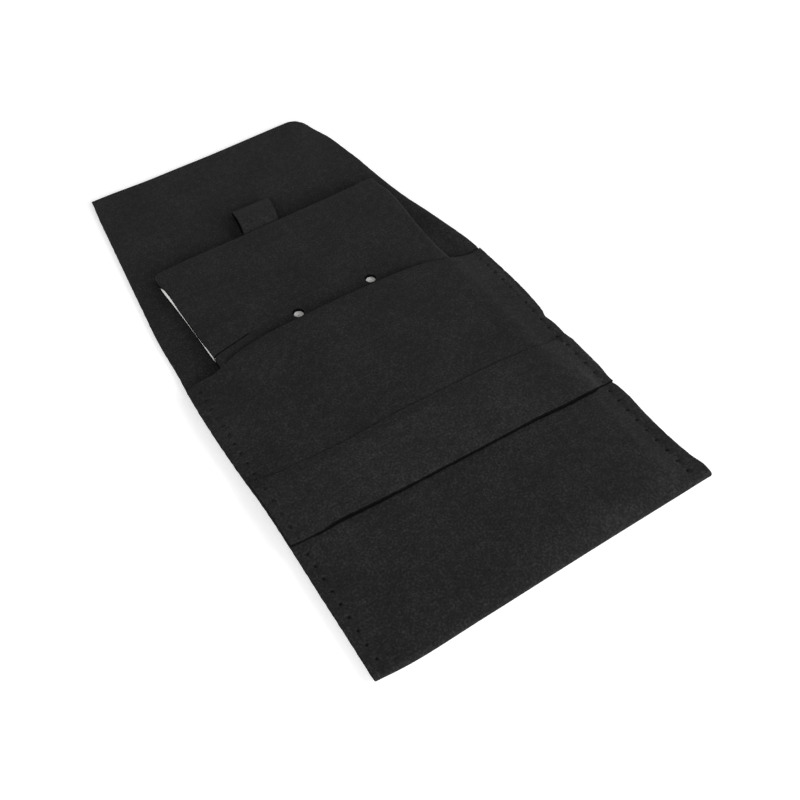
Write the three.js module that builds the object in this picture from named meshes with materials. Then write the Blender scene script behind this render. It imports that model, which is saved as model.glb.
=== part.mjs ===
// Jewellery pouch of soft microfibre cloth, lying open and flat.
//
// One strip of cloth is folded up at the bottom into a pocket and runs on past the pocket's mouth as a
// tapered flap. A strap crosses the pocket, and the two side seams hold strap, front and back together.
// A stiff insert for earrings and a chain slides in the pocket and is drawn out by its looped pull tab.
//
// Units are millimetres. X runs across the pouch, Y from the bottom fold to the flap's end, Z is up from
// the table. The origin is under the middle of the whole pouch.

import * as THREE from 'three';

// Cloth and the gap kept between neighbouring layers
const CLOTH = 0.8;
const FIT = 0.3;

// The folded strip
const POUCH_WIDTH = 100;
const POCKET_DEPTH = 100.5;
const FLAP_LENGTH = 88.5;
const FLAP_END_WIDTH = 80;
const FLAP_SHOULDER = 4;
const FLAP_CORNER = 2;
const FOLD_DEPTH = 3;

// The pocket's front
const SEAM_MARGIN = 3.6;
const MOUTH_DIP = 2;
const MOUTH_CROWN = 1;

// The strap across the pocket
const STRAP_RISE = 38;
const STRAP_HEIGHT = 20;

// Side seams
const THREAD = 0.44;
const STITCH_PITCH = 4;
const STITCH_BOW = 0.25;
const STITCH_INSET = 2.6;

// The insert
const INSERT_WIDTH = 77;
const INSERT_LENGTH = 88;
const INSERT_CORNER = 1.5;
const INSERT_DRAWN_OUT = 44;
const COVER = 0.7;
const BOARD = 1.4;
const EARRING_HOLE = 3.2;
const EARRING_PIERCING = 1;
const EARRING_SPACING = 24;
const EARRING_DROP = 39.8;
const SLIT_LENGTH = 11;
const SLIT_WIDTH = 0.6;
const SLIT_DROP = 42;
const SLIT_ANGLE = THREE.MathUtils.degToRad(13);

// The pull tab, a folded strip whose two ends are glued into a notch of the board
const TAB_WIDTH = 13.4;
const TAB_REACH = 12.4;
const TAB_CLOTH = 0.6;
const TAB_GRIP = 8;
const TAB_SWELL = 3;
const TAB_DROOP = 0.8;

// Places that follow from the sizes
const HALF_WIDTH = POUCH_WIDTH / 2;
const LENGTH = POCKET_DEPTH + FLAP_LENGTH;
const SHOULDER_Y = POCKET_DEPTH + FLAP_SHOULDER;
const STRAP_TOP = STRAP_RISE + STRAP_HEIGHT;
const INSERT_THICKNESS = BOARD + 2 * COVER;
const INSERT_Z = CLOTH + FIT;
const INSERT_TOP = POCKET_DEPTH + INSERT_DRAWN_OUT;
const INSERT_ROOM = INSERT_THICKNESS + 2 * FIT;
const PLATEAU_HALF = INSERT_WIDTH / 2 + FIT;
const SEAM_INNER = HALF_WIDTH - SEAM_MARGIN;

// The line on which the flap's end turns back over the drawn-out insert. Its height lays the turned cloth
// just over the insert, and the cloth of the bend starts beyond the pull tab.
const FLAP_BEND_Z = (INSERT_Z + INSERT_THICKNESS + FIT + CLOTH) / 2;
const FLAP_BEND_RADIUS = FLAP_BEND_Z - CLOTH / 2;
const FLAP_BEND_Y = INSERT_TOP + TAB_REACH + FIT + (FLAP_BEND_RADIUS * Math.PI) / 2;

// Facets
const RAMP_STEPS = 6;
const PLATEAU_STEPS = 12;
const CROWN_STEPS = 8;
const FOLD_STEPS = 10;
const ARC_STEPS = 8;
const THREAD_SIDES = 6;
const STEPS_PER_STITCH = 4;

const { lerp, smoothstep } = THREE.MathUtils;

const finish = {
  cloth: { color: 0x242424, roughness: 0.95, metalness: 0 },
  strap: { color: 0x2a2a2a, roughness: 0.95, metalness: 0 },
  thread: { color: 0x101010, roughness: 0.8, metalness: 0 },
  cover: { color: 0x262626, roughness: 0.95, metalness: 0 },
  board: { color: 0xececea, roughness: 0.9, metalness: 0 },
};

const pouch = new THREE.Group();
pouch.position.y = -LENGTH / 2;

function addPiece(parent, name, geometry, kind) {
  const mesh = new THREE.Mesh(geometry, new THREE.MeshStandardMaterial(finish[kind]));
  mesh.name = name;
  parent.add(mesh);
  return mesh;
}

// A flat piece cut to an outline, with its underside at z = 0
function cutFlat(outline, thickness) {
  return new THREE.ExtrudeGeometry(outline, {
    depth: thickness,
    bevelEnabled: false,
    curveSegments: ARC_STEPS,
  });
}

// A closed body between two surfaces over the same grid of rows and columns. With columns running
// towards +X and rows towards +Y, the first surface is the upper one.
function bodyBetween(rows, columns, upper, lower) {
  const points = [];
  const faces = [];
  const count = rows.length * columns.length;
  for (const surface of [upper, lower]) {
    for (const row of rows) {
      for (const column of columns) points.push(...surface(row, column).toArray());
    }
  }
  const at = (layer, i, j) => layer * count + i * columns.length + j;
  const quad = (a, b, c, d) => faces.push(a, b, c, a, c, d);
  for (let i = 0; i + 1 < rows.length; i++) {
    for (let j = 0; j + 1 < columns.length; j++) {
      quad(at(0, i, j), at(0, i, j + 1), at(0, i + 1, j + 1), at(0, i + 1, j));
      quad(at(1, i, j), at(1, i + 1, j), at(1, i + 1, j + 1), at(1, i, j + 1));
    }
  }
  const lastRow = rows.length - 1;
  const lastColumn = columns.length - 1;
  for (let j = 0; j < lastColumn; j++) {
    quad(at(1, 0, j), at(1, 0, j + 1), at(0, 0, j + 1), at(0, 0, j));
    quad(at(0, lastRow, j), at(0, lastRow, j + 1), at(1, lastRow, j + 1), at(1, lastRow, j));
  }
  for (let i = 0; i < lastRow; i++) {
    quad(at(0, i, 0), at(0, i + 1, 0), at(1, i + 1, 0), at(1, i, 0));
    quad(at(1, i, lastColumn), at(1, i + 1, lastColumn), at(0, i + 1, lastColumn), at(0, i, lastColumn));
  }
  const geometry = new THREE.BufferGeometry();
  geometry.setAttribute('position', new THREE.Float32BufferAttribute(points, 3));
  geometry.setIndex(faces);
  geometry.computeVertexNormals();
  return geometry;
}

// Height of the room inside the pocket: closed at the seams, level over the insert and crowned at the
// mouth, where the drawn-out insert holds the front up
function pocketRoom(x, y) {
  const across = Math.abs(x);
  const opened = 1 - smoothstep(across, PLATEAU_HALF, SEAM_INNER);
  const arch = Math.cos((Math.PI / 2) * Math.min(1, across / PLATEAU_HALF)) ** 2;
  const towardsMouth = smoothstep(y, STRAP_TOP, POCKET_DEPTH);
  return FIT + (INSERT_ROOM - FIT) * opened + MOUTH_CROWN * arch * towardsMouth;
}

const frontUnderside = (x, y) => CLOTH + pocketRoom(x, y);
const frontTop = (x, y) => frontUnderside(x, y) + CLOTH;

// Columns across the pocket, close together on the two ramps beside the insert
function pocketColumns() {
  const right = [];
  for (let k = 0; k < PLATEAU_STEPS / 2; k++) right.push((PLATEAU_HALF * (k + 1)) / (PLATEAU_STEPS / 2));
  for (let k = 1; k <= RAMP_STEPS; k++) right.push(lerp(PLATEAU_HALF, SEAM_INNER, k / RAMP_STEPS));
  right.push(HALF_WIDTH);
  return [...right.map((x) => -x).reverse(), 0, ...right];
}

const columns = pocketColumns();

function flapHalfWidth(y) {
  const along = THREE.MathUtils.clamp((y - SHOULDER_Y) / (LENGTH - SHOULDER_Y), 0, 1);
  return lerp(HALF_WIDTH, FLAP_END_WIDTH / 2, along);
}

function backPanel() {
  const outline = new THREE.Shape();
  outline.moveTo(-HALF_WIDTH, FOLD_DEPTH);
  outline.lineTo(HALF_WIDTH, FOLD_DEPTH);
  outline.lineTo(HALF_WIDTH, SHOULDER_Y);
  outline.lineTo(-HALF_WIDTH, SHOULDER_Y);
  return cutFlat(outline, CLOTH);
}

function flapBase() {
  const end = FLAP_BEND_Y - FIT / 2;
  const outline = new THREE.Shape();
  outline.moveTo(-HALF_WIDTH, SHOULDER_Y);
  outline.lineTo(HALF_WIDTH, SHOULDER_Y);
  outline.lineTo(flapHalfWidth(end), end);
  outline.lineTo(-flapHalfWidth(end), end);
  return cutFlat(outline, CLOTH);
}

function flapEnd() {
  const start = FLAP_BEND_Y + FIT / 2;
  const corner = FLAP_END_WIDTH / 2 - FLAP_CORNER;
  const outline = new THREE.Shape();
  outline.moveTo(-flapHalfWidth(start), start);
  outline.lineTo(flapHalfWidth(start), start);
  outline.lineTo(flapHalfWidth(LENGTH - FLAP_CORNER), LENGTH - FLAP_CORNER);
  outline.quadraticCurveTo(FLAP_END_WIDTH / 2, LENGTH, corner, LENGTH);
  outline.lineTo(-corner, LENGTH);
  outline.quadraticCurveTo(
    -FLAP_END_WIDTH / 2,
    LENGTH,
    -flapHalfWidth(LENGTH - FLAP_CORNER),
    LENGTH - FLAP_CORNER,
  );
  return cutFlat(outline, CLOTH);
}

// The front of the pocket, from the bottom fold to the mouth, whose cut edge dips to the seams
function frontPanel() {
  const rows = [FOLD_DEPTH, STRAP_RISE, STRAP_TOP];
  for (let k = 1; k <= CROWN_STEPS; k++) rows.push(lerp(STRAP_TOP, POCKET_DEPTH, k / CROWN_STEPS));
  const dip = (x, y) => MOUTH_DIP * (x / HALF_WIDTH) ** 2 * smoothstep(y, STRAP_TOP, POCKET_DEPTH);
  const surface = (height) => (y, x) => new THREE.Vector3(x, y - dip(x, y), height(x, y));
  return bodyBetween(rows, columns, surface(frontTop), surface(frontUnderside));
}

// The rolled fold that turns the back into the front, low at the seams and full over the insert's room
function bottomFold() {
  const turns = [];
  for (let k = 0; k <= FOLD_STEPS; k++) turns.push(lerp(-Math.PI / 2, Math.PI / 2, k / FOLD_STEPS));
  const surface = (inset) => (turn, x) => {
    const middle = frontTop(x, FOLD_DEPTH) / 2;
    const reach = FOLD_DEPTH - inset;
    return new THREE.Vector3(x, FOLD_DEPTH - reach * Math.cos(turn), middle + (middle - inset) * Math.sin(turn));
  };
  return bodyBetween(turns, columns, surface(0), surface(CLOTH));
}

// The strap follows the front closely and ends flush with it at both seams
function closingStrap() {
  const lowest = (y, x) => new THREE.Vector3(x, y, frontTop(x, y) + FIT);
  const highest = (y, x) => new THREE.Vector3(x, y, frontTop(x, y) + FIT + CLOTH);
  return bodyBetween([STRAP_RISE, STRAP_TOP], columns, highest, lowest);
}

// The line of one side's sewing thread: over the front, up across the strap and down again, pulled in at
// every needle hole
class SeamLine extends THREE.Curve {
  constructor(side, stitches, firstHole) {
    super();
    this.x = side * (HALF_WIDTH - STITCH_INSET);
    this.stitches = stitches;
    this.firstHole = firstHole;
  }

  getPoint(along, target = new THREE.Vector3()) {
    const stitch = this.stitches * along;
    const y = this.firstHole + STITCH_PITCH * stitch;
    const clear = FIT + THREAD / 2;
    const strapBelow = STRAP_RISE - clear;
    const strapAbove = STRAP_TOP + clear;
    const climbed = smoothstep(y, strapBelow - STITCH_PITCH / 2, strapBelow);
    const descended = smoothstep(y, strapAbove, strapAbove + STITCH_PITCH / 2);
    const seat = frontTop(this.x, y) + (FIT + CLOTH) * (climbed - descended);
    const bow = STITCH_BOW * Math.sin(Math.PI * stitch) ** 2;
    return target.set(this.x, y, seat + clear + bow);
  }
}

// One side's thread, unbroken from the bottom fold to the mouth
function seamThread(side) {
  const below = Math.floor((STRAP_RISE - FOLD_DEPTH) / STITCH_PITCH);
  const above = Math.floor((POCKET_DEPTH - MOUTH_DIP - STRAP_RISE) / STITCH_PITCH);
  const section = new THREE.Shape();
  section.absarc(0, 0, THREAD / 2, 0, 2 * Math.PI);
  return new THREE.ExtrudeGeometry(section, {
    extrudePath: new SeamLine(side, below + above, STRAP_RISE - STITCH_PITCH * below),
    steps: (below + above) * STEPS_PER_STITCH,
    curveSegments: THREAD_SIDES,
    bevelEnabled: false,
  });
}

// A slit for the chain, cut in from the insert's side edge and rising towards the middle
function cutSlit(outline, side) {
  const run = SLIT_LENGTH * Math.cos(SLIT_ANGLE);
  const rise = SLIT_LENGTH * Math.sin(SLIT_ANGLE);
  const half = SLIT_WIDTH / 2 / Math.cos(SLIT_ANGLE);
  const edge = INSERT_WIDTH / 2;
  const path = [
    [edge, -SLIT_DROP - half],
    [edge - run, -SLIT_DROP + rise - half],
    [edge - run, -SLIT_DROP + rise + half],
    [edge, -SLIT_DROP + half],
  ];
  if (side < 0) path.reverse();
  for (const [x, y] of path) outline.lineTo(side * x, y);
}

// A notch in the board's top edge for the pull tab's glued ends
function cutNotch(outline) {
  const half = TAB_WIDTH / 2 + FIT;
  const depth = TAB_GRIP + FIT;
  outline.lineTo(half, 0);
  outline.lineTo(half, -depth);
  outline.lineTo(-half, -depth);
  outline.lineTo(-half, 0);
}

// The insert's outline, hanging down from its top edge at y = 0. Each earring has a wide hole in the front
// cover and a small piercing for its post in the layers below.
function insertOutline(hole, notched) {
  const edge = INSERT_WIDTH / 2;
  const turn = edge - INSERT_CORNER;
  const outline = new THREE.Shape();
  outline.moveTo(-turn, -INSERT_LENGTH);
  outline.lineTo(turn, -INSERT_LENGTH);
  outline.absarc(turn, -INSERT_LENGTH + INSERT_CORNER, INSERT_CORNER, -Math.PI / 2, 0);
  cutSlit(outline, 1);
  outline.absarc(turn, -INSERT_CORNER, INSERT_CORNER, 0, Math.PI / 2);
  if (notched) cutNotch(outline);
  outline.absarc(-turn, -INSERT_CORNER, INSERT_CORNER, Math.PI / 2, Math.PI);
  cutSlit(outline, -1);
  outline.absarc(-turn, -INSERT_LENGTH + INSERT_CORNER, INSERT_CORNER, Math.PI, 1.5 * Math.PI);
  for (const side of [-1, 1]) {
    const punched = new THREE.Path();
    punched.absarc((side * EARRING_SPACING) / 2, -EARRING_DROP, hole / 2, 0, 2 * Math.PI, true);
    outline.holes.push(punched);
  }
  return outline;
}

// The pull tab's side view: a strip folded at its outer end. Its two layers lie together at the fold, part
// to the insert's whole thickness on the way back, and meet again in the notch. It is drawn with y towards
// the fold and the insert's middle plane at 0, then given its width along X.
function pullTab() {
  const loop = INSERT_THICKNESS / 2;
  const inner = loop - TAB_CLOTH;
  const fold = TAB_REACH - TAB_CLOTH;
  const low = -TAB_DROOP;
  const outline = new THREE.Shape();
  outline.moveTo(-TAB_GRIP, -TAB_CLOTH);
  outline.lineTo(FIT, -TAB_CLOTH);
  outline.bezierCurveTo(TAB_SWELL / 2, -TAB_CLOTH, TAB_SWELL / 2, -loop, TAB_SWELL, -loop);
  outline.lineTo(fold, low - TAB_CLOTH);
  outline.absarc(fold, low, TAB_CLOTH, -Math.PI / 2, Math.PI / 2);
  outline.bezierCurveTo(2 * TAB_SWELL, loop / 2, TAB_SWELL * 1.5, loop, TAB_SWELL, loop);
  outline.bezierCurveTo(TAB_SWELL / 2, loop, TAB_SWELL / 2, TAB_CLOTH, FIT, TAB_CLOTH);
  outline.lineTo(-TAB_GRIP, TAB_CLOTH);
  const opening = new THREE.Path();
  opening.moveTo(2 * FIT, 0);
  opening.bezierCurveTo(TAB_SWELL / 2, 0, TAB_SWELL / 2, inner, TAB_SWELL, inner);
  opening.bezierCurveTo(TAB_SWELL * 1.5, inner, 2 * TAB_SWELL, 0, fold - TAB_CLOTH, low);
  opening.lineTo(TAB_SWELL, -inner);
  opening.bezierCurveTo(TAB_SWELL / 2, -inner, TAB_SWELL / 2, 0, 2 * FIT, 0);
  outline.holes.push(opening);
  const geometry = cutFlat(outline, TAB_WIDTH);
  const sideways = new THREE.Matrix4().makeBasis(
    new THREE.Vector3(0, 1, 0),
    new THREE.Vector3(0, 0, 1),
    new THREE.Vector3(1, 0, 0),
  );
  return geometry.applyMatrix4(sideways).translate(-TAB_WIDTH / 2, 0, 0);
}

addPiece(pouch, 'back_panel', backPanel(), 'cloth');
addPiece(pouch, 'bottom_fold', bottomFold(), 'cloth');
addPiece(pouch, 'front_panel', frontPanel(), 'cloth');
addPiece(pouch, 'flap_base', flapBase(), 'cloth');
addPiece(pouch, 'flap_end', flapEnd(), 'cloth');
addPiece(pouch, 'closing_strap', closingStrap(), 'strap');
addPiece(pouch, 'left_seam_thread', seamThread(-1), 'thread');
addPiece(pouch, 'right_seam_thread', seamThread(1), 'thread');

const insert = new THREE.Group();
insert.position.set(0, INSERT_TOP, INSERT_Z);
pouch.add(insert);

const backCover = cutFlat(insertOutline(EARRING_PIERCING, false), COVER);
const coreBoard = cutFlat(insertOutline(EARRING_PIERCING, true), BOARD).translate(0, 0, COVER);
const frontCover = cutFlat(insertOutline(EARRING_HOLE, false), COVER).translate(0, 0, COVER + BOARD);
addPiece(insert, 'insert_back_cover', backCover, 'cover');
addPiece(insert, 'insert_core_board', coreBoard, 'board');
addPiece(insert, 'insert_front_cover', frontCover, 'cover');
addPiece(insert, 'pull_tab', pullTab(), 'cover').position.z = INSERT_THICKNESS / 2;

export default pouch;
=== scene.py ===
# Looks of the jewellery pouch: soft black microfibre cloth, lying open with its earring insert drawn out.
# Sizes are in millimetres until a mesh is made, with y counted from the bottom fold, as in the CAD source.
import math

import bmesh
import bpy
import numpy as np
from mathutils import Euler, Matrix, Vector


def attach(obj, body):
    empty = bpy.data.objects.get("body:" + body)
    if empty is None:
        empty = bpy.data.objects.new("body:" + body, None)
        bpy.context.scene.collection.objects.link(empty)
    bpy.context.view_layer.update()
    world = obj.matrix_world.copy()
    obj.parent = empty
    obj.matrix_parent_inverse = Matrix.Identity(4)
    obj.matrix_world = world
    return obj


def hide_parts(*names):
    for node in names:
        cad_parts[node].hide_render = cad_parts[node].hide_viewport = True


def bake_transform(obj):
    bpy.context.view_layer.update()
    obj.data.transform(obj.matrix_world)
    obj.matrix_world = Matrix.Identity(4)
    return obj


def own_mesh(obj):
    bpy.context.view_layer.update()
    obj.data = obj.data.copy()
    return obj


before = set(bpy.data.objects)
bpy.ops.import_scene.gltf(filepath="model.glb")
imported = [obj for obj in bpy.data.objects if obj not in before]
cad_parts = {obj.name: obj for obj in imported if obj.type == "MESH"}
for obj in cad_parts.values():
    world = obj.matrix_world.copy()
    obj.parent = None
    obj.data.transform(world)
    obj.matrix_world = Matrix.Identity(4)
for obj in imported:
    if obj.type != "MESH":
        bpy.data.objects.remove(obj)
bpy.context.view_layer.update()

MM = 0.001

# The pouch: its length, where its front ends, half its width, the cloth's thickness, and the least gap
# between front and back
LENGTH = 189.0
POCKET = 100.5
HALF = 50.0
CLOTH = 0.8
LAYER_GAP = 0.1

# The cloth and the floor each keep this far from the table's plane, so that they never touch
TABLE_GAP = 0.02

# Where the front comes free of the back, beside the left and the right seam
FREE_LEFT = -46.9
FREE_RIGHT = 46.8

# Sewing: needle holes stand on the same rows on both sides
SEAM_U = 47.4
FIRST_HOLE = 4.14
PITCH = 3.87
HOLES = 25
THREAD = 0.28
# One stitch: how far along it, and how deep the thread lies, from 0 on the cloth to 1 at the needle hole
STITCH_DIP = (
    (0, 1.0), (0.06, 0.85), (0.13, 0.1), (0.3, 0.02), (0.5, 0), (0.7, 0.02), (0.87, 0.1), (0.94, 0.85)
)
# How deep the thread's middle lies in the front, and how much deeper it goes at the front's and the back's
# needle holes
THREAD_SUNK = 0.13
FRONT_DIP = 0.62
BACK_DIP = 0.35
# How deep the seams draw in the cloth: a groove, and a pit at each needle hole
FRONT_GROOVE = 0.05
FRONT_PIT = 0.7
BACK_GROOVE = 0.2
BACK_PIT = 0.3

# The strap's lower and upper edges as cut, how close it lies on the front, and how far its lower edge lifts
STRAP_LOW = 38
STRAP_HIGH = 58
STRAP_GAP = 0.06
STRAP_LIFT = 1.15

# The insert: its upper end, its heights and its size, and its earring holes: their places, their radii in
# the board and in the cover, and how deep the punch dented both
INSERT_TOP = 144.5
INSERT_LOW = 1.1
COVER = 0.7
BOARD = 1.4
INSERT_HIGH = INSERT_LOW + BOARD + 2 * COVER
INSERT_HALF = 38.5
INSERT_LENGTH = 88
INSERT_END = INSERT_TOP - INSERT_LENGTH
CORNER = 1.0
DIE_ROUND = 0.1
EARRING_HOLES = ((-10.85, 104.8), (13.85, 105.75))
PIERCING = 0.3
PUNCH = 1.7
DENT = 0.3

# The bottom fold, round the cloth's middle: its radius, half its run of cloth, where it ends in y, and how
# far the front's belly reaches from it
FOLD_R = 0.62
FOLD_S = FOLD_R * math.pi / 2
FOLD_Y = CLOTH / 2 + FOLD_R
BELLY_REACH = 7.0

# The hinge of the flap's end
BEND_Y = 160.5


def smooth(value, low, high):
    """0 up to low, 1 from high on, and an even S between. Where high is the smaller, it counts down."""
    t = np.clip((value - low) / (high - low), 0, 1)
    return t * t * (3 - 2 * t)


def through(points):
    """A smooth curve through a few (place, value) points, level past both ends."""
    places, values = (np.array(column, float) for column in zip(*points))
    slopes = np.gradient(values, places)

    def curve(place):
        place = np.clip(place, places[0], places[-1])
        k = np.clip(np.searchsorted(places, place, side="right") - 1, 0, len(places) - 2)
        span = places[k + 1] - places[k]
        t = (place - places[k]) / span
        rest = 1 - t
        return (
            (1 + 2 * t) * rest**2 * values[k]
            + t * rest**2 * span * slopes[k]
            + t**2 * (3 - 2 * t) * values[k + 1]
            - t**2 * rest * span * slopes[k + 1]
        )

    return curve


def ripple(x, y, size, seed):
    """Gentle unevenness from -1 to 1 whose bumps are about size mm across."""
    rng = np.random.default_rng(seed)
    total = 0
    for _ in range(6):
        turn = rng.uniform(0, math.pi)
        wave = 2 * math.pi / (size * rng.uniform(1.4, 2.6))
        total = total + np.sin(wave * (x * math.cos(turn) + y * math.sin(turn)) + rng.uniform(0, 6.28))
    return total / 4


# Camera: the photograph's angle and frame
camera = bpy.data.objects.new("camera", bpy.data.cameras.new("camera"))
bpy.context.scene.collection.objects.link(camera)
camera.data.sensor_width = 36
camera.data.lens = 43.346
camera.data.clip_start = 0.01
camera.location = (-0.09111, -0.16852, 0.20343)
camera.rotation_euler = Euler((math.radians(38.961), 0, math.radians(-32.699)))
bpy.context.scene.camera = camera

# The pouch's outline, as the cloth lies
left_edge = through(
    [(0, -50.0), (13, -49.9), (25, -49.85), (38, -49.7), (55, -49.8), (64, -50.2), (93, -50.3), (97, -50.1),
     (105, -49.5), (116, -49.2), (122.5, -48.8), (131, -47.95), (141, -47.0), (150, -46.1), (160, -45.1),
     (170, -44.1), (178, -43.3), (186.5, -42.2)]
)
right_edge = through(
    [(0, 50.6), (3, 51.0), (7, 50.4), (12, 49.8), (18, 49.5), (25, 49.6), (32, 50.0), (36, 49.6),
     (38, 49.05), (42, 49.5), (50, 49.6), (58, 49.7), (64, 49.7), (66.7, 49.1), (69, 50.0), (73.6, 50.6),
     (84, 51.0), (90, 50.9), (100.5, 50.6), (105, 50.6), (110, 49.8), (115, 48.8), (120, 47.8), (126, 46.6),
     (131, 45.5), (137, 44.5), (144.5, 43.6), (152.5, 42.9), (161, 42.2), (166.5, 41.4), (172, 40.7),
     (176, 40.0), (179, 39.1), (182, 38.1), (184, 37.5), (187, 36.9), (188.5, 36.2)]
)
right_seam = through([(0, 45.6), (28, 45.8), (36, 46.3), (60, 46.6), (75, 47.1), (100, 47.2)])
mouth_line = through(
    [(-50, 96.6), (-46, 97.2), (-42, 97.05), (-39, 97.55), (-33, 99.6), (-27, 100.55), (-10, 101.25),
     (10, 101.55), (31, 101.35), (38, 99.9), (42, 99.5), (46.6, 99.75), (50, 100.9)]
)
flap_end_line = through(
    [(-50, 187.4), (-40, 187.7), (-30, 187.7), (-24, 187.8), (-12, 188.3), (3, 188.9), (15, 189.6),
     (28, 190.4), (35, 190.8), (41, 191.1), (46, 191.0), (48, 190.2), (50, 188.3)]
)
fold_line = through([(-50, 0), (-46, -0.4), (-20, -0.5), (-5, -0.3), (10, -0.1), (50, 0.2)])
strap_low_line = through(
    [(-50, 38.7), (-46.5, 38.3), (-42, 38.05), (-36, 38.2), (-30, 37.8), (-22, 37.4), (-14, 37.15),
     (-5, 37.0), (9, 36.85), (24, 36.8), (34, 36.4), (40, 36.5), (45.5, 36.9), (50, 37.1)]
)
strap_high_line = through(
    [(-50, 60.8), (-45.5, 59.4), (-41, 58.3), (-34, 57.4), (0, 57.1), (34, 57.1), (41, 56.6), (46, 57.2),
     (50, 58)]
)

# How far the flap's right edge curls up, and how far both seams lift, in mm
flap_curl = through([(98, 0), (104, 0.2), (114, 1.3), (134, 1.6), (146, 1.3), (156, 0.5), (168, 0)])
left_lift = through([(0, 0.1), (10, 0.5), (40, 0.8), (58, 1.3), (92, 1.3), (101, 0.5), (108, 0)])
right_lift = through([(0, 0.1), (10, 0.35), (40, 0.35), (58, 0.7), (94, 0.75), (101, 0.3), (108, 0)])


def curled_edge(y):
    """The right edge, drawn in where the flap curls up."""
    return right_edge(y) - 0.68 * flap_curl(y)


def fold_shift(u, y):
    """How far the bottom fold's own line shifts the cloth next to it."""
    return fold_line(u) * (1 - smooth(y, 0, 12))


def across(u, y):
    """Where column u of the cloth lies at y. The columns at the seams keep to the stitching."""
    left, right = left_edge(y), curled_edge(y)
    flap = smooth(y, 96, 114)
    left_stitch = -47.25 + flap * (left * SEAM_U / HALF + 47.25)
    right_stitch = right_seam(y) + flap * (right * SEAM_U / HALF - right_seam(y))
    share = (u + SEAM_U) / (2 * SEAM_U)
    inside = left_stitch + share * (right_stitch - left_stitch)
    margin = HALF - SEAM_U
    at_left = left + (u + HALF) / margin * (left_stitch - left)
    at_right = right + (u - HALF) / margin * (right - right_stitch)
    # The cut edges are a little uneven, and the middle isn't
    fuzz = 0.05 * np.sin(y * 1.9) * np.sin(y * 0.43 + 1)
    x = np.where(u < -SEAM_U, at_left, np.where(u > SEAM_U, at_right, inside))
    return x + fuzz * np.abs(u) / HALF


over_insert = through(
    [(-50, 0), (-47.2, 0), (-46.6, 0.03), (-42.7, 0.42), (-38.8, 0.81), (-31, 1), (32, 1), (38.8, 0.84),
     (42.4, 0.43), (46.3, 0.03), (47, 0), (50, 0)]
)


def slack_share(x):
    """Nothing at the seams, and 1 where the front is free to stand off the back."""
    return smooth(x, FREE_LEFT, -26) * (1 - smooth(x, 38, FREE_RIGHT))


def belly(x):
    """How high the front puffs up next to the bottom fold, most on the right."""
    return slack_share(x) * (0.9 + 1.25 * smooth(x, -15, 36))


def fold_lean(x):
    """The angle at which the front leaves the bottom fold, upwards."""
    return np.arctan(2 * belly(x) / BELLY_REACH)


def pocket_room(x, y):
    """Clear height between back and front: nothing at the seams, a slack belly in the empty lower half, and
    over the drawn-out insert its thickness, with a crown at the mouth."""
    lean = fold_lean(x)
    at_fold = FOLD_R * (1 + np.cos(lean)) - CLOTH
    reach = np.clip((y - FOLD_Y + FOLD_R * np.sin(lean)) / BELLY_REACH, 0, 1)
    puff = belly(x) * (1 - (1 - reach) ** 2) * (1 - smooth(y, 16, 57))
    between_seams = smooth(x, FREE_LEFT, -40) * (1 - smooth(x, 40, FREE_RIGHT))
    flat = LAYER_GAP + between_seams * (0.26 + 0.09 * ripple(x, y, 26, 3))
    slack = at_fold + (flat - at_fold) * smooth(y, 1, 8) + puff
    rise = smooth(y, 14, 57)
    crown = np.cos(np.clip(x / 78, -0.5, 0.5) * math.pi) ** 2 * smooth(y, 50, 80)
    full = INSERT_HIGH - CLOTH + 0.25 + 0.3 * crown + 0.15 * (1 + ripple(x, y, 24, 5))
    return slack + np.maximum(full - slack, 0) * rise * over_insert(x)


def pinch(x, y):
    """A small crease that runs inwards from the notch in the right edge, above the strap."""
    ridge = 66.4 + 0.24 * (47.3 - x)
    return 0.3 * np.exp(-(((y - ridge) / 1.1) ** 2)) * smooth(x, 33, 44) * (1 - smooth(x, 46.5, 48.5))


def front_middle(x, y):
    return back_middle(x, y) + CLOTH + pocket_room(x, y) + pinch(x, y)


def off_table(x, y):
    """How far the seams, and the curled right edge of the flap, stand off the table."""
    beside_left = smooth(x, -40.3, -47) * (1 - 0.4 * smooth(x, -47.4, -50.2))
    beside_right = smooth(x, 40, 47) * (1 - 0.9 * smooth(x, 47.4, 50.2))
    from_edge = curled_edge(y) - x
    seams = left_lift(y) * beside_left + right_lift(y) * beside_right
    return seams + flap_curl(y) * smooth(from_edge, 7, 1.2)


def back_middle(x, y):
    flap = smooth(y, 104, 125)
    return CLOTH / 2 + TABLE_GAP + 0.1 * flap * (1 + ripple(x, y, 30, 9)) + off_table(x, y)


# Making cloth: a flat slab is cut, then draped over a surface


def spaced(low, high, step):
    count = max(1, round((high - low) / step))
    return [low + (high - low) * k / count for k in range(count)]


def hole_rows(low, high):
    """Rows that are close together at each needle hole, for the stitches from low to high."""
    rows = []
    for k in range(HOLES):
        hole = FIRST_HOLE + PITCH * k
        rows += [hole + offset for offset in (-1.3, -0.46, -0.22, 0, 0.22, 0.46, 1.3)]
    return [row for row in rows if low < row < high]


def apart(rows):
    """The rows in order, without those that all but touch the one before."""
    rows = sorted(rows)
    return rows[:1] + [row for before, row in zip(rows, rows[1:]) if row - before > 0.03]


def side_columns():
    """Columns from the right half of the cloth, close together at the seam."""
    seam = [SEAM_U + offset for offset in (-0.9, -0.46, -0.22, 0, 0.22, 0.46, 0.9)]
    return spaced(0, 30, 2) + spaced(30, 46, 1) + seam + [48.9, 49.5, HALF]


def both_sides(columns):
    return [-c for c in reversed(columns) if c] + columns


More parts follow.
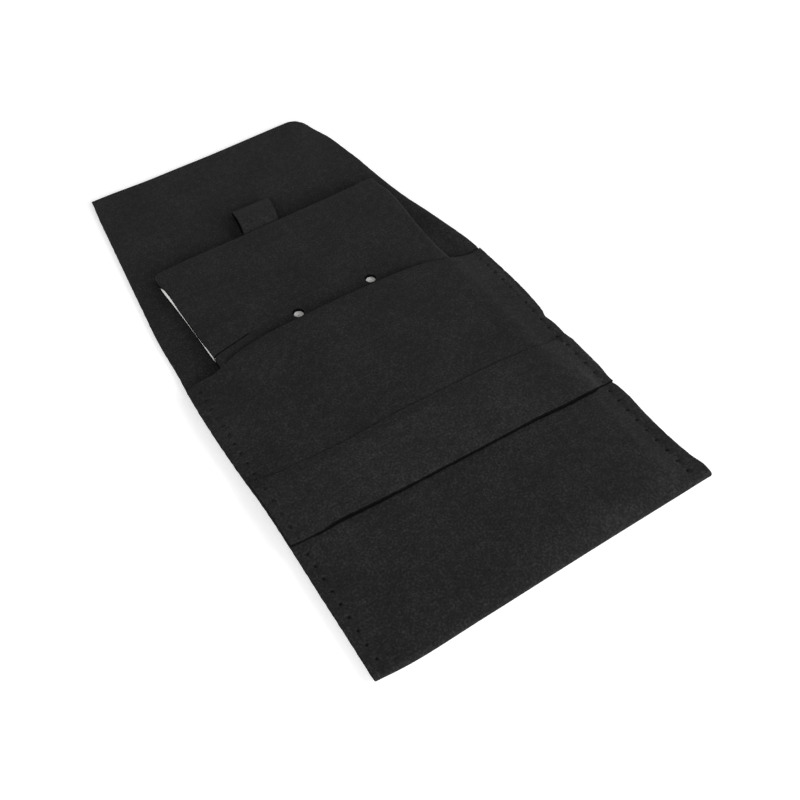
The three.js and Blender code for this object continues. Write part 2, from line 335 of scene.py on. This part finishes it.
def cut_slab(columns, rows, thick, round_off):
    """A flat slab on a grid of columns and rows, with its edges rounded."""
    bm = bmesh.new()
    bmesh.ops.create_grid(bm, x_segments=len(columns) - 1, y_segments=len(rows) - 1, size=0.5)
    for v in bm.verts:
        i = round((v.co.x + 0.5) * (len(columns) - 1))
        j = round((v.co.y + 0.5) * (len(rows) - 1))
        v.co = (columns[i], rows[j], -thick / 2)
    grown = bmesh.ops.extrude_face_region(bm, geom=bm.faces[:])["geom"]
    lifted = [g for g in grown if isinstance(g, bmesh.types.BMVert)]
    bmesh.ops.translate(bm, verts=lifted, vec=(0, 0, thick))
    bmesh.ops.recalc_face_normals(bm, faces=bm.faces[:])
    level = [e for e in bm.edges if abs(e.verts[0].co.z - e.verts[1].co.z) < thick / 2]
    rim = [e for e in level if e.calc_face_angle(0) > 1]
    bmesh.ops.bevel(
        bm, geom=rim, offset=round_off, segments=2, profile=0.5, affect="EDGES", material=-1
    )
    return bm


def lay_pattern(bm, upright=0.3):
    """The cloth's own pattern map, in metres of flat cloth, and the cut edges marked as the second finish.
    They are the faces whose normals stand up less than upright."""
    layer = bm.loops.layers.uv.new("cut")
    bm.normal_update()
    for face in bm.faces:
        face.smooth = True
        face.material_index = 1 if abs(face.normal.z) < upright else 0
        for loop in face.loops:
            loop[layer].uv = (loop.vert.co.x * MM, loop.vert.co.y * MM)


def drape(bm, middle, sink=None):
    """Bends a flat slab over a surface. middle(u, s) is the cloth's middle, and sink(u, s, w) shifts w."""
    u, s, w = np.array([v.co for v in bm.verts]).T
    h = 0.02
    at = middle(u, s)
    normal = np.cross(middle(u + h, s) - middle(u - h, s), middle(u, s + h) - middle(u, s - h))
    normal /= np.linalg.norm(normal, axis=1)[:, None]
    if sink is not None:
        w = w + sink(u, s, w)
    for v, place in zip(bm.verts, at + normal * w[:, None]):
        v.co = place


def finish_piece(bm, name, body, materials, stands_for=()):
    """Makes the mesh in metres, in the frame of the CAD model, and fixes it to its body."""
    for v in bm.verts:
        v.co = (v.co.x * MM, (v.co.y - LENGTH / 2) * MM, v.co.z * MM)
    mesh = bpy.data.meshes.new(name)
    bm.to_mesh(mesh)
    bm.free()
    for material in materials:
        mesh.materials.append(material)
    piece = bpy.data.objects.new(name, mesh)
    bpy.context.scene.collection.objects.link(piece)
    if body:
        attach(piece, body)
    if stands_for:
        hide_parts(*stands_for)
    return piece


# Materials
def linear(code):
    """A colour from its sRGB hex code."""
    channels = [int(code[k : k + 2], 16) / 255 for k in (1, 3, 5)]
    return [c / 12.92 if c <= 0.04045 else ((c + 0.055) / 1.055) ** 2.4 for c in channels] + [1]


def add_node(tree, kind, settings=None, **inputs):
    """Adds a node. A setting is an attribute, and an input is a value or another node's socket."""
    made = tree.nodes.new(kind)
    for name, value in (settings or {}).items():
        setattr(made, name, value)
    for name, value in inputs.items():
        socket = made.inputs[int(name[1:])] if name[1:].isdigit() else made.inputs[name.replace("_", " ")]
        if isinstance(value, bpy.types.NodeSocket):
            tree.links.new(value, socket)
        else:
            socket.default_value = value
    return made


def new_material(name):
    material = bpy.data.materials.new(name)
    material.use_nodes = True
    tree = material.node_tree
    tree.nodes.clear()
    out = add_node(tree, "ShaderNodeOutputMaterial")
    return material, tree, out


def microfibre(name, deep, mid, light, grain=0.6, sheen=0.03, gloss=0.08):
    """Microfibre suede: a brushed nap of fine fibres. It is matt and even, with faint flecks where the nap
    lies another way and a soft glow at grazing angles."""
    material, tree, out = new_material(name)
    place = add_node(tree, "ShaderNodeUVMap", {"uv_map": "cut"}).outputs["UV"]
    noise = "ShaderNodeTexNoise"
    fleck = add_node(tree, noise, Vector=place, Scale=1 / (grain * MM), Detail=3.0, Roughness=0.6)
    patch = add_node(tree, noise, Vector=place, Scale=1 / (2.2 * MM), Detail=1.0, Roughness=0.5)
    broad = add_node(tree, noise, Vector=place, Scale=1 / (14 * MM), Detail=1.0, Roughness=0.5)
    # Together the three vary round 0.5, the middle of the ramp
    add = {"operation": "MULTIPLY_ADD"}
    fine = add_node(tree, "ShaderNodeMath", add, _0=fleck.outputs["Fac"], _1=0.54, _2=0.1)
    more = add_node(tree, "ShaderNodeMath", add, _0=patch.outputs["Fac"], _1=0.15, _2=fine.outputs[0])
    nap = add_node(tree, "ShaderNodeMath", add, _0=broad.outputs["Fac"], _1=0.11, _2=more.outputs[0])
    ramp = add_node(tree, "ShaderNodeValToRGB", Fac=nap.outputs[0])
    stops = ramp.color_ramp.elements
    stops[0].position, stops[0].color = 0.3, linear(deep)
    stops[1].position, stops[1].color = 0.7, linear(light)
    middle = stops.new(0.5)
    middle.color = linear(mid)
    bump = add_node(tree, "ShaderNodeBump", Height=nap.outputs[0], Strength=0.35, Distance=0.12 * MM)
    shader = add_node(
        tree, "ShaderNodeBsdfPrincipled", Base_Color=ramp.outputs["Color"], Roughness=0.95,
        Normal=bump.outputs["Normal"], Specular_IOR_Level=gloss, Sheen_Weight=sheen, Sheen_Roughness=0.5,
    )
    tree.links.new(shader.outputs[0], out.inputs["Surface"])
    return material


cloth = microfibre("brushed_microfibre_black", "#0a0a0a", "#1e1e1e", "#383838")
# The strap's cloth is a lighter copy of the same microfibre: painted light, so that the strap reads
# brighter than the front
strap_cloth = microfibre("brushed_microfibre_strap_painted_lighter", "#0b0b0b", "#212121", "#3d3d3d")
insert_cloth = microfibre("laminated_microfibre_insert", "#0a0a0a", "#1e1e1e", "#373737")
# Cut edges are darker than the brushed face. This finish is made darker still, which paints part of the
# shade in the gaps and holes along them, and it also paints shade under the strap and inside the pull tab's
# loop.
cut_edge_and_painted_shade = microfibre("cut_microfibre_edge_and_painted_shade", "#070707", "#101010", "#1d1d1d", 0.35, sheen=0.0, gloss=0.0)


def sewing_thread():
    """Spun polyester sewing thread, black, a little glossier than the cloth and ribbed by its twist."""
    material, tree, out = new_material("spun_polyester_thread")
    place = add_node(tree, "ShaderNodeTexCoord").outputs["Object"]
    twist = add_node(tree, "ShaderNodeTexNoise", Vector=place, Scale=1 / (0.25 * MM), Detail=2.0)
    ramp = add_node(tree, "ShaderNodeValToRGB", Fac=twist.outputs["Fac"])
    stops = ramp.color_ramp.elements
    stops[0].position, stops[0].color = 0.35, linear("#0a0a0a")
    stops[1].position, stops[1].color = 0.7, linear("#1e1e1e")
    bump = add_node(tree, "ShaderNodeBump", Height=twist.outputs["Fac"], Strength=0.5, Distance=0.06 * MM)
    shader = add_node(
        tree, "ShaderNodeBsdfPrincipled", Base_Color=ramp.outputs["Color"], Roughness=0.75,
        Normal=bump.outputs["Normal"], Specular_IOR_Level=0.15,
    )
    tree.links.new(shader.outputs[0], out.inputs["Surface"])
    return material


def pulp_board():
    """Bleached pulp board, die-cut: off-white and matt, with the faint layers and fibres of a cut edge."""
    material, tree, out = new_material("bleached_pulp_board")
    place = add_node(tree, "ShaderNodeTexCoord").outputs["Object"]
    layers = add_node(tree, "ShaderNodeMapping", Vector=place, Scale=(1, 1, 12))
    fibre = add_node(tree, "ShaderNodeTexNoise", Vector=layers.outputs[0], Scale=1 / (2.0 * MM), Detail=4.0)
    ramp = add_node(tree, "ShaderNodeValToRGB", Fac=fibre.outputs["Fac"])
    stops = ramp.color_ramp.elements
    stops[0].position, stops[0].color = 0.3, linear("#dcdbd8")
    stops[1].position, stops[1].color = 0.7, linear("#f1f1ef")
    bump = add_node(tree, "ShaderNodeBump", Height=fibre.outputs["Fac"], Strength=0.4, Distance=0.08 * MM)
    shader = add_node(
        tree, "ShaderNodeBsdfPrincipled", Base_Color=ramp.outputs["Color"], Roughness=0.9,
        Normal=bump.outputs["Normal"], Specular_IOR_Level=0.25,
    )
    tree.links.new(shader.outputs[0], out.inputs["Surface"])
    return material


thread = sewing_thread()
board = pulp_board()

# The strap stands off the front between the seams, most along its lower edge


def off_seams(u):
    return smooth(u, -47.2, -36) * (1 - smooth(u, 42.5, 46))


def strap_edge(u):
    """Where the strap's lower edge hangs."""
    return strap_low_line(u) - 0.8 * off_seams(u)


# The folded strip: front, bottom fold, back and flap in one piece of cloth
# Row s counts along the strip from the bottom fold: back and flap above 0, front below 0


def strip_middle(u, s):
    run = np.abs(s)
    on_front = s < 0
    lean = np.where(on_front, fold_lean(across(u, FOLD_Y + 0 * s)), 0)
    y = FOLD_Y + np.maximum(run - FOLD_S, 0) - FOLD_R * np.sin(lean) * (1 - smooth(run, 1, 8))
    y_front = y + (mouth_line(u) - POCKET) * smooth(y, 62, POCKET)
    y_back = y + (flap_end_line(u) - LENGTH) * smooth(y, 118, LENGTH)
    y = np.where(on_front, y_front, y_back)
    x = across(u, y)
    z = np.where(on_front, front_middle(x, y), back_middle(x, y))
    turn = np.clip(run / FOLD_S, 0, 1) * (math.pi / 2 - lean)
    in_fold = run < FOLD_S
    y = np.where(in_fold, FOLD_Y - FOLD_R * np.cos(turn), y)
    z = np.where(in_fold, back_middle(x, y) + FOLD_R - np.sign(s) * FOLD_R * np.sin(turn), z)
    return np.stack([x, y + fold_shift(u, y), z], axis=1)


def seam_marks(u, y):
    """How far the sewing pulls the surface in: a shallow groove, and a pit at each needle hole."""
    off = np.abs(np.abs(u) - SEAM_U)
    nearest = FIRST_HOLE + PITCH * np.clip(np.round((y - FIRST_HOLE) / PITCH), 0, HOLES - 1)
    distance = np.hypot(off, y - nearest)
    return np.exp(-((off / 0.7) ** 2)), np.exp(-((distance / 0.34) ** 4))


def strip_sink(u, s, w):
    """The outer side is the top of the front and the underside of the back, both at w below 0. The front's
    edge is worn thin at the mouth."""
    groove, pit = seam_marks(u, np.abs(s))
    sewn = (np.abs(s) > 1.5) & (np.abs(s) < POCKET - 1.5) & (w < 0)
    on_front = s < 0
    depth = np.where(on_front, FRONT_GROOVE, BACK_GROOVE) * groove
    depth = depth + np.where(on_front, FRONT_PIT, BACK_PIT) * pit
    mouth = 0.35 * smooth(-s, POCKET - 2, POCKET - 0.3) * (1 - smooth(np.abs(u), 38, 46)) * (w < 0)
    return np.where(sewn, depth, 0) + mouth


columns = both_sides(side_columns())
# Rows stand close together at the needle holes, at the strap's lower edge, round the fold and at the hinge
front_rows = apart([1.3, 1.8, 2.3] + hole_rows(2.5, 98.5) + spaced(35.4, 39.6, 0.12))
rows = (
    [-POCKET, -99.6]
    + [-row for row in reversed(front_rows)]
    + spaced(-FOLD_S, FOLD_S, 0.2)
    + [FOLD_S, 1.3, 1.8, 2.3]
    + hole_rows(2.5, 99)
    + spaced(99.5, BEND_Y - 4, 1.8)
    + spaced(BEND_Y - 4, BEND_Y + 4, 0.45)
    + spaced(BEND_Y + 4, LENGTH - 1, 1.8)
    + [LENGTH - 1, LENGTH]
)
bm = cut_slab(columns, rows, CLOTH, 0.16)
lay_pattern(bm)
# The front's faces under the strap take the dark edge finish: painted shade, so that the gap under the
# strap's lower edge reads dark
for face in bm.faces:
    middle = face.calc_center_median()
    in_middle = smooth(middle.x, -32, -10) * (1 - smooth(middle.x, 12, 30))
    painted_shade_edge = strap_edge(middle.x) + 0.1 + 0.25 * in_middle
    if middle.z < 0 and painted_shade_edge < -middle.y < STRAP_HIGH - 2 and abs(middle.x) < HALF - 1:
        face.material_index = 1
drape(bm, strip_middle, strip_sink)
strip = finish_piece(bm, "folded_cloth_strip", None, [cloth, cut_edge_and_painted_shade])
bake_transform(strip)
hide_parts("back_panel", "bottom_fold", "front_panel", "flap_base", "flap_end")

# The strap, sewn in at both seams and a little loose along its lower edge


def strap_middle(u, s):
    upper = smooth(s, STRAP_LOW, STRAP_HIGH)
    y = s + (strap_edge(u) - STRAP_LOW) * (1 - upper) + (strap_high_line(u) - STRAP_HIGH) * upper
    x = across(u, y)
    loose = off_seams(u) * (1 - smooth(s, STRAP_LOW, STRAP_HIGH - 2))
    return np.stack([x, y, front_middle(x, y) + CLOTH + STRAP_GAP + STRAP_LIFT * loose], axis=1)


def strap_sink(u, s, w):
    """The stitches sink into the strap's top, and its upper edge is pressed thin."""
    groove, pit = seam_marks(u, s)
    pressed = 0.6 * smooth(s, 54.5, STRAP_HIGH)
    return np.where(w > 0, -(FRONT_GROOVE * groove + FRONT_PIT * pit + pressed), 0)


strap_rows = [STRAP_LOW, 38.5, 39.2] + hole_rows(39.4, 57.2) + [57.6, STRAP_HIGH]
bm = cut_slab(columns, strap_rows, CLOTH, 0.14)
lay_pattern(bm, 0.95)
# The strap's upper edge is pressed thin, and looks like the cloth
for face in bm.faces:
    if face.calc_center_median().y > 57.7:
        face.material_index = 0
drape(bm, strap_middle, strap_sink)
strap_finishes = [strap_cloth, cut_edge_and_painted_shade]
strap = finish_piece(bm, "closing_strap_cloth", "pouch", strap_finishes, ["closing_strap"])


# Seams: a lockstitch shows on the front and on the back


def stitch_line(side, top):
    """The thread's course along one seam, on the front or on the back. It dips into each needle hole."""
    points = []
    for k in range(HOLES - 1):
        for share, dip in STITCH_DIP:
            y = np.array([FIRST_HOLE + PITCH * (k + share)])
            x = across(np.array([side * SEAM_U]), y)
            if top:
                height = front_middle(x, y)[0] + CLOTH / 2 - THREAD_SUNK
                on_strap = strap_low_line(side * HALF) < y[0] < strap_high_line(side * HALF)
                height += (CLOTH + STRAP_GAP) * on_strap
                z = height - FRONT_DIP * dip
            else:
                z = back_middle(x, y)[0] - CLOTH / 2 + THREAD / 2 + BACK_DIP * dip
            points.append((x[0], y[0] + fold_shift(side * SEAM_U, y[0]), z))
    return points


def thread_through(curve, points):
    spline = curve.splines.new("POLY")
    spline.points.add(len(points) - 1)
    for point, place in zip(spline.points, points):
        point.co = (*place, 1)


def seam(name, side, node):
    curve = bpy.data.curves.new(name + "_line", "CURVE")
    curve.dimensions = "3D"
    curve.bevel_depth = THREAD / 2
    curve.bevel_resolution = 1
    curve.use_fill_caps = True
    for top in (True, False):
        thread_through(curve, stitch_line(side, top))
    holder = bpy.data.objects.new(name + "_line", curve)
    bm = bmesh.new()
    bm.from_mesh(holder.to_mesh())
    holder.to_mesh_clear()
    bpy.data.objects.remove(holder)
    bmesh.ops.recalc_face_normals(bm, faces=bm.faces[:])
    for face in bm.faces:
        face.smooth = True
    return finish_piece(bm, name, "pouch", [thread], [node])


left_seam = seam("left_seam_stitches", -1, "left_seam_thread")
right_seam_piece = seam("right_seam_stitches", 1, "right_seam_thread")

# The insert: board between two cloth covers, die-cut together
insert_left = through(
    [(56, -38.7), (101, -38.9), (106, -39.05), (111, -39.07), (119, -39.22), (128, -39.57), (138, -39.97),
     (144, -39.6)]
)
insert_right = through(
    [(56, 38.7), (100, 39.0), (109, 38.7), (121, 39.3), (132, 40.2), (137, 40.2), (141, 39.4), (145, 38.8)]
)
insert_top = through([(-39, 142.4), (-30, 142.7), (-10, 143.4), (10, 144.3), (30, 145.1), (39, 145.7)])
# How much of the board's white edge shows on the left, in mm
white_edge = through(
    [(56, 0.02), (90, 0.02), (100.8, 0.02), (101.7, 0.02), (102.9, 0.95), (107.6, 0.95), (109.9, 0.4),
     (112.3, 0.15), (116, 0.15), (119.4, 0.33), (121.7, 0.4), (124.1, 0.7), (126.4, 0.8), (128.8, 1.1),
     (131.1, 1.38), (133.5, 1.4), (136.4, 1.4), (137.2, 0.02), (138, 0.02), (145, 0.02)]
)
# How far the front cover stands back from the board's lower edge on the left, in mm
set_back = through(
    [(56, 0), (118, 0), (126, 0.05), (129, 0.18), (132, 0.32), (134, 0.3), (136.4, 0.08), (137.2, 0),
     (145, 0)]
)


def arc(cx, cy, r, start, end, steps):
    angles = [math.radians(start + (end - start) * k / steps) for k in range(steps + 1)]
    return [(cx + r * math.cos(a), cy + r * math.sin(a)) for a in angles]


def insert_outline():
    """The insert's outline, anticlockwise, on a plain rectangle that is shaped afterwards."""
    low, high, half, r = INSERT_END, INSERT_TOP, INSERT_HALF, CORNER
    run, rise, gap = 12.1, 2.7, 0.16
    slit_y = 102.5
    right_slit = slit_y - 4
    points = arc(-half + r, low + r, r, 180, 270, 5) + arc(half - r, low + r, r, 270, 360, 5)
    points += [(half, right_slit - gap), (half - run, right_slit + rise - gap)]
    points += [(half - run, right_slit + rise + gap), (half, right_slit + gap)]
    points += arc(half - r, high - r, r, 0, 90, 5) + arc(-half + r, high - r, r, 90, 180, 5)
    points += [(-half, slit_y + gap), (-half + run, slit_y + rise + gap)]
    points += [(-half + run, slit_y + rise - gap), (-half, slit_y - gap)]
    return points


def slice_across(bm, places, axis):
    """Cuts the mesh at places along x, which is axis 0, or along y, which is axis 1."""
    facing = (1, 0, 0) if axis == 0 else (0, 1, 0)
    for place in places:
        spot = [place * part for part in facing]
        geom = bm.verts[:] + bm.edges[:] + bm.faces[:]
        bmesh.ops.bisect_plane(bm, geom=geom, dist=1e-5, plane_co=spot, plane_no=facing)


def die_cut(outline, holes, low, high, round_off):
    """A flat plate with holes, cut into small cells so that it can be shaped."""
    curve = bpy.data.curves.new("die_line", "CURVE")
    curve.dimensions = "2D"
    curve.fill_mode = "BOTH"
    curve.extrude = (high - low) / 2 - round_off
    curve.bevel_depth = round_off
    curve.bevel_resolution = 2
    curve.offset = -round_off
    for loop in [outline, *holes]:
        spline = curve.splines.new("POLY")
        spline.points.add(len(loop) - 1)
        for point, place in zip(spline.points, loop):
            point.co = (*place, 0, 1)
        spline.use_cyclic_u = True
    holder = bpy.data.objects.new("die_line", curve)
    bm = bmesh.new()
    bm.from_mesh(holder.to_mesh())
    holder.to_mesh_clear()
    bpy.data.objects.remove(holder)
    bmesh.ops.remove_doubles(bm, verts=bm.verts[:], dist=0.001)
    bmesh.ops.translate(bm, verts=bm.verts[:], vec=(0, 0, (low + high) / 2))
    bmesh.ops.dissolve_limit(bm, angle_limit=0.01, verts=bm.verts[:], edges=bm.edges[:])
    cells_wide, cells_long = 26, 30
    slice_across(bm, [-INSERT_HALF + 2 * INSERT_HALF * k / cells_wide for k in range(1, cells_wide)], 0)
    slice_across(bm, [INSERT_END + INSERT_LENGTH * k / cells_long for k in range(1, cells_long)], 1)
    # The cells are finer along the sides, round the earring holes and where the white edge begins and ends
    beside_edges = [-37.9, -37.2, 37.9, 37.2]
    beside_holes = [x + offset for x, y in EARRING_HOLES for offset in (-2.7, -1.95, 1.95, 2.7)]
    past_holes = [105 + offset for offset in (-3.2, -2.4, 2.4, 3.2)]
    ends_of_white = [101.7, 102.1, 102.9, 136.4, 137.2]
    slice_across(bm, beside_edges + beside_holes, 0)
    slice_across(bm, past_holes + ends_of_white, 1)
    bmesh.ops.recalc_face_normals(bm, faces=bm.faces[:])
    return bm


def near_edge(distance, reach):
    """1 at an edge, and down to 0 at reach from it."""
    return np.clip(1 - distance / reach, 0, 1)


def shape_insert(bm, name):
    """Fits the plate to the insert as it lies, and presses its upper layers down along its edges. The board
    is dented under both earring holes, where the punch pressed on it and drew the cover's rim in."""
    layer = bm.loops.layers.uv.new("cut")
    for face in bm.faces:
        for loop in face.loops:
            loop[layer].uv = (loop.vert.co.x * MM, loop.vert.co.y * MM)
    x0, y0, z0 = np.array([v.co for v in bm.verts]).T
    share = (x0 + INSERT_HALF) / (2 * INSERT_HALF)
    y = y0 + (insert_top(x0) - INSERT_TOP) * smooth(y0, 110, INSERT_TOP)
    left, right = insert_left(y), insert_right(y)
    x = left + share * (right - left)
    upper = np.clip((z0 - INSERT_LOW - COVER) / BOARD, 0, 1)
    past_corner = y0 - (INSERT_TOP - CORNER)
    beside_corner = CORNER - INSERT_HALF - x0
    from_corner = CORNER - np.hypot(np.maximum(beside_corner, 0), past_corner)
    from_left = np.where(past_corner > 0, from_corner, x0 + INSERT_HALF)
    facing_left = np.where(past_corner > 0, smooth(beside_corner, 0, 0.7 * CORNER), 1)
    drop_left = (BOARD - white_edge(y)) * facing_left * near_edge(from_left, 1.5) ** 2
    x = x + upper * set_back(y) * facing_left * near_edge(from_left, 3)
    if name == "insert_board":
        # Where no white shows, the board ends a little inside the covers
        x = x + 0.2 * smooth(white_edge(y), 0.09, 0.03) * facing_left * near_edge(from_left, 1.5)
    drop_right = 0.5 * near_edge(INSERT_HALF - x0, 1.5) ** 2
    drop_top = 0.35 * near_edge(INSERT_TOP - y0, 1.8) ** 2
    # The card isn't quite flat: its far right corner lifts a little, and its far left one is pressed down
    wave = 0.09 * ripple(x, y, 22, 11) * smooth(y, 99, 108)
    lift = 0.5 * smooth(x, 8, 39) * smooth(y, 118, 145) - 0.5 * smooth(-x, 24, 39) * smooth(y, 126, 143)
    z = z0 - upper * np.maximum(np.maximum(drop_left, drop_right), drop_top) + upper * (wave + lift)
    for hole_x, hole_y in EARRING_HOLES:
        dx, dy = np.abs(x0 - hole_x), np.abs(y0 - hole_y)
        if name == "insert_board":
            z = z - DENT * ((dx < 2) & (dy < 2.6) & (z0 > INSERT_LOW + COVER + BOARD / 2))
        if name == "insert_front_cloth":
            rim = (dx < 1.9) & (dy < 1.9) & (z0 < INSERT_HIGH - COVER / 2)
            z = z - DENT * rim
            x = x + rim * (0.1 - 0.17 * (x0 - hole_x))
            y = y - rim * 0.17 * (y0 - hole_y)
    for v, place in zip(bm.verts, np.stack([x, y, z], axis=1)):
        v.co = place
    bm.normal_update()
    for face in bm.faces:
        face.smooth = True
        face.material_index = 1 if abs(face.normal.z) < 0.5 and name != "insert_board" else 0
    for edge in bm.edges:
        edge.smooth = edge.calc_face_angle(0) < math.radians(32)


def punched(r):
    return [arc(x, y, r, 0, 360 - 360 / 24, 23) for x, y in EARRING_HOLES]


def insert_layer(name, node, low, high, hole):
    """One layer of the insert from height low to high, with earring holes of radius hole."""
    bm = die_cut(insert_outline(), punched(hole), low, high, DIE_ROUND)
    shape_insert(bm, name)
    if name == "insert_board":
        return finish_piece(bm, name, "insert", [board], [node])
    return finish_piece(bm, name, "insert", [insert_cloth, cut_edge_and_painted_shade], [node])


board_low = INSERT_LOW + COVER
board_high = INSERT_HIGH - COVER
inserts = [
    insert_layer("insert_back_cloth", "insert_back_cover", INSERT_LOW, board_low, PIERCING),
    insert_layer("insert_board", "insert_core_board", board_low, board_high, PIERCING),
    insert_layer("insert_front_cloth", "insert_front_cover", board_high, INSERT_HIGH, PUNCH),
]

# The pull tab: a strip folded at its outer end, glued between the insert's layers. Its size, how far it
# reaches out, how far it is glued in, half its run of cloth and half its run round the fold
TAB_HALF = 6.65
TAB_CLOTH = 0.6
TAB_REACH = 11.7
TAB_GLUED = 8
TAB_RUN = 20
TAB_FOLD = 0.42
tab_upper = through(
    [(-8, 2.8), (0, 2.82), (1, 3.0), (2.6, 3.9), (4.5, 4.25), (7, 3.9), (9.5, 3.1), (11.8, 2.2)]
)
tab_lower = through([(-8, 2.2), (0, 2.18), (1.5, 1.7), (3, 1.45), (6, 1.4), (9, 1.35), (11.8, 1.3)])


def tab_middle(u, s):
    """Row s runs along the strip: the upper layer below 0, out to the fold, and the lower layer above 0."""
    run = np.abs(s)
    beyond = np.clip(TAB_REACH - (run - TAB_FOLD), -TAB_GLUED, TAB_REACH)
    upper, lower = tab_upper(beyond), tab_lower(beyond)
    z = np.where(s < 0, upper, lower)
    out = beyond
    turn = np.clip(s / TAB_FOLD, -1, 1) * math.pi / 2
    in_fold = run < TAB_FOLD
    radius = (upper - lower) / 2
    z = np.where(in_fold, (upper + lower) / 2 - radius * np.sin(turn), z)
    out = np.where(in_fold, TAB_REACH + radius * np.cos(turn), out)
    slant = np.clip(out / TAB_REACH, -0.3, 1)
    x = u * (0.94 + 0.06 * slant) - 2.4 + 2.1 * slant
    y = INSERT_TOP - 0.1 + out + 0.035 * u
    return np.stack([x, y, z], axis=1)


tab_columns = [-TAB_HALF, -6.2] + spaced(-5.5, 5.5, 1) + [5.5, 6.2, TAB_HALF]
upper_rows = spaced(-TAB_RUN, -TAB_FOLD, 0.6)
fold_rows = spaced(-TAB_FOLD, TAB_FOLD, 0.12)
lower_rows = spaced(TAB_FOLD, TAB_RUN, 0.6) + [TAB_RUN]
bm = cut_slab(tab_columns, upper_rows + fold_rows + lower_rows, TAB_CLOTH, 0.12)
lay_pattern(bm, 0.95)
# The inside of the loop takes the dark edge finish: painted shade for the loop's dark opening
for face in bm.faces:
    if face.normal.z < -0.5:
        face.material_index = 1
drape(bm, tab_middle)
tab = finish_piece(bm, "pull_tab_loop", "insert", [insert_cloth, cut_edge_and_painted_shade], ["pull_tab"])

for piece in inserts:
    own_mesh(piece)

# Floor, world and light, in metres
floor_mesh = bpy.data.meshes.new("floor")
bm = bmesh.new()
bmesh.ops.create_circle(bm, cap_ends=True, segments=64, radius=3)
bm.to_mesh(floor_mesh)
bm.free()
floor = bpy.data.objects.new("floor", floor_mesh)
bpy.context.scene.collection.objects.link(floor)
floor.location.z = -TABLE_GAP * MM


def seen(tree):
    """1 for what the camera sees, straight or in a reflection, and 0 for light that falls on the object."""
    path = add_node(tree, "ShaderNodeLightPath")
    straight, mirrored, through_glass = (
        path.outputs[f"Is {kind} Ray"] for kind in ("Camera", "Glossy", "Transmission")
    )
    larger = {"operation": "MAXIMUM"}
    either = add_node(tree, "ShaderNodeMath", larger, _0=straight, _1=mirrored).outputs[0]
    return add_node(tree, "ShaderNodeMath", larger, _0=either, _1=through_glass).outputs[0]


def pale_floor():
    """Matt white sweep. What the camera sees is lifted to white and keeps the object's shadow. The lift
    grows outwards, where less of the lamps' light arrives."""
    material, tree, out = new_material("matt_white_sweep")
    matt = add_node(tree, "ShaderNodeBsdfDiffuse", Color=linear("#e6e6e6"))
    place = add_node(tree, "ShaderNodeTexCoord").outputs["Object"]
    far = add_node(tree, "ShaderNodeVectorMath", {"operation": "LENGTH"}, _0=place).outputs["Value"]
    lift = add_node(tree, "ShaderNodeMapRange", _0=far, _1=0.12, _2=1.0, _3=0.46, _4=1.1).outputs[0]
    glow = add_node(tree, "ShaderNodeEmission", Color=linear("#ffffff"), Strength=lift)
    lifted = add_node(tree, "ShaderNodeAddShader", _0=matt.outputs[0], _1=glow.outputs[0])
    mix = add_node(tree, "ShaderNodeMixShader", _0=seen(tree), _1=matt.outputs[0], _2=lifted.outputs[0])
    tree.links.new(mix.outputs[0], out.inputs["Surface"])
    return material


floor_mesh.materials.append(pale_floor())

world = bpy.data.worlds.new("studio")
world.use_nodes = True
tree = world.node_tree
tree.nodes.clear()
ambient = add_node(tree, "ShaderNodeBackground", Color=linear("#ffffff"), Strength=0.09)
backdrop = add_node(tree, "ShaderNodeBackground", Color=linear("#ffffff"), Strength=1.0)
mix = add_node(tree, "ShaderNodeMixShader", _0=seen(tree), _1=ambient.outputs[0], _2=backdrop.outputs[0])
out = add_node(tree, "ShaderNodeOutputWorld", Surface=mix.outputs[0])
bpy.context.scene.world = world


def soft_box(name, place, wide, high, power):
    lamp = bpy.data.lights.new(name, "AREA")
    lamp.shape = "RECTANGLE"
    lamp.size = wide
    lamp.size_y = high
    lamp.energy = power
    holder = bpy.data.objects.new(name, lamp)
    holder.location = place
    holder.rotation_euler = (-Vector(place)).to_track_quat("-Z", "Y").to_euler()
    bpy.context.scene.collection.objects.link(holder)


soft_box("near_softbox", (0.0, -1.03, 0.38), 0.5, 0.5, 6.2)
soft_box("near_right_softbox", (0.73, -0.73, 0.38), 0.5, 0.5, 7.9)
soft_box("low_left_strip_light", (-1.09, 0.0, 0.12), 0.5, 0.2, 5.0)
soft_box("high_left_softbox", (-0.58, -0.58, 0.74), 0.5, 0.5, 4.1)
soft_box("high_right_softbox", (0.82, 0.0, 0.74), 0.5, 0.5, 2.3)

scene = bpy.context.scene
scene.view_settings.view_transform = "Standard"
